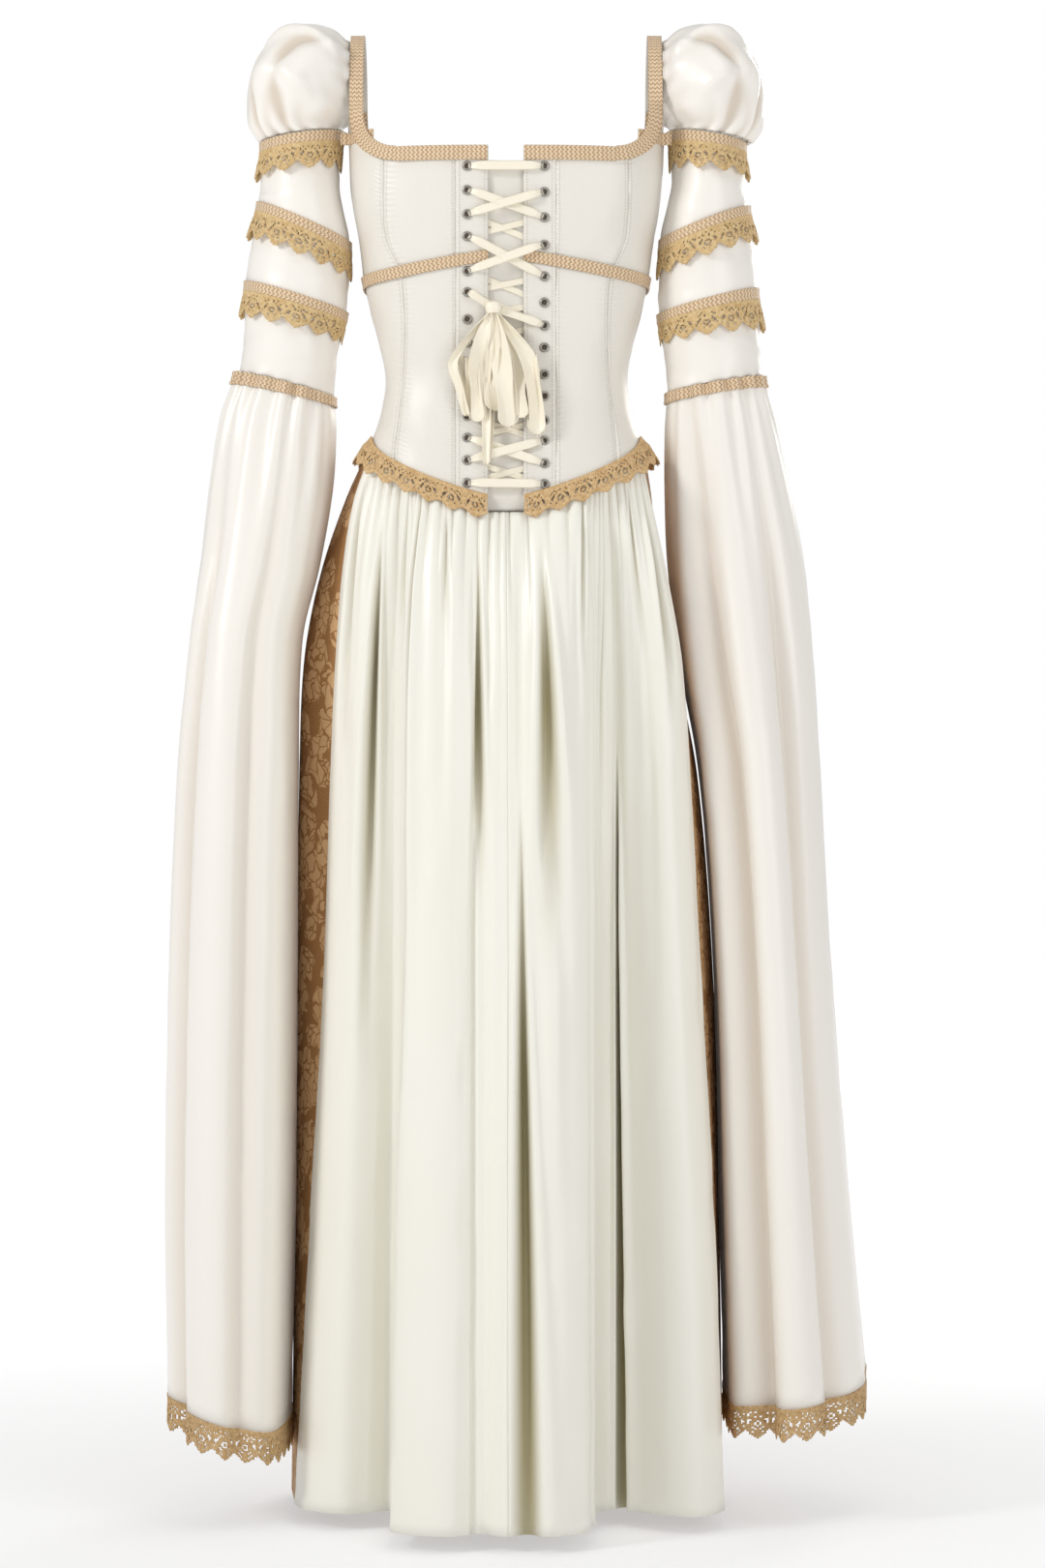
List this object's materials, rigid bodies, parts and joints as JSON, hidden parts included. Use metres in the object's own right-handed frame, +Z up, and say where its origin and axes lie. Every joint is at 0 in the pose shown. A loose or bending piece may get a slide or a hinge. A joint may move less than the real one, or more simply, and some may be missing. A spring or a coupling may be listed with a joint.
{
  "type": "corset dress",
  "caption": "Long satin dress with a back-laced boned bodice, puffed and banded sleeves that fall in long bells, and a gathered skirt over a floral lace front.",
  "frame": {"origin": "midway between the tops of the two shoulder straps, where the wearer's shoulders carry the dress", "axes": "+Z up; the laced back faces -Y and the front +Y; +X is the wearer's right side"},
  "size_m": [0.6822, 0.4766, 1.4445],
  "materials": {
    "satin_bodice": "ivory polyester satin, boned and lined",
    "satin_skirt": "ivory polyester satin, soft gloss",
    "satin_sleeve": "ivory polyester satin, soft gloss",
    "gold_braid": "woven metallic braid",
    "guipure_lace": "cotton guipure lace",
    "floral_lace": "brown floral lace on tan lining",
    "lacing_ribbon": "cream satin ribbon",
    "nickel_eyelet": "nickel-plated brass, worn bright"
  },
  "bodies": {
    "root": {"bell_hem_lace_left": "guipure_lace", "bell_hem_lace_right": "guipure_lace", "bell_left": "satin_sleeve", "bell_right": "satin_sleeve", "bow": "lacing_ribbon", "lacing": "lacing_ribbon", "lower_back_left": "satin_bodice", "lower_back_right": "satin_bodice", "lower_front": "satin_bodice", "lower_side_back_left": "satin_bodice", "lower_side_back_right": "satin_bodice", "lower_side_front_left": "satin_bodice", "lower_side_front_right": "satin_bodice", "modesty_panel": "satin_bodice", "neck_braid_front": "gold_braid", "neck_braid_left": "gold_braid", "neck_braid_right": "gold_braid", "placket_left": "satin_bodice", "placket_right": "satin_bodice", "puff_left": "satin_sleeve", "puff_right": "satin_sleeve", "skirt_back_left": "satin_skirt", "skirt_back_right": "satin_skirt", "skirt_front_lace": "floral_lace", "sleeve_braid_1_left": "gold_braid", "sleeve_braid_1_right": "gold_braid", "sleeve_braid_2_left": "gold_braid", "sleeve_braid_2_right": "gold_braid", "sleeve_braid_3_left": "gold_braid", "sleeve_braid_3_right": "gold_braid", "sleeve_braid_4_left": "gold_braid", "sleeve_braid_4_right": "gold_braid", "sleeve_lace_1_left": "guipure_lace", "sleeve_lace_1_right": "guipure_lace", "sleeve_lace_2_left": "guipure_lace", "sleeve_lace_2_right": "guipure_lace", "sleeve_lace_3_left": "guipure_lace", "sleeve_lace_3_right": "guipure_lace", "sleeve_left": "satin_sleeve", "sleeve_right": "satin_sleeve", "strap_left": "satin_bodice", "strap_right": "satin_bodice", "underbust_braid_left": "gold_braid", "underbust_braid_right": "gold_braid", "upper_back_left": "satin_bodice", "upper_back_right": "satin_bodice", "upper_front": "satin_bodice", "upper_side_back_left": "satin_bodice", "upper_side_back_right": "satin_bodice", "upper_side_front_left": "satin_bodice", "upper_side_front_right": "satin_bodice", "waist_lace_left": "guipure_lace", "waist_lace_right": "guipure_lace"}
  },
  "joints": []
}
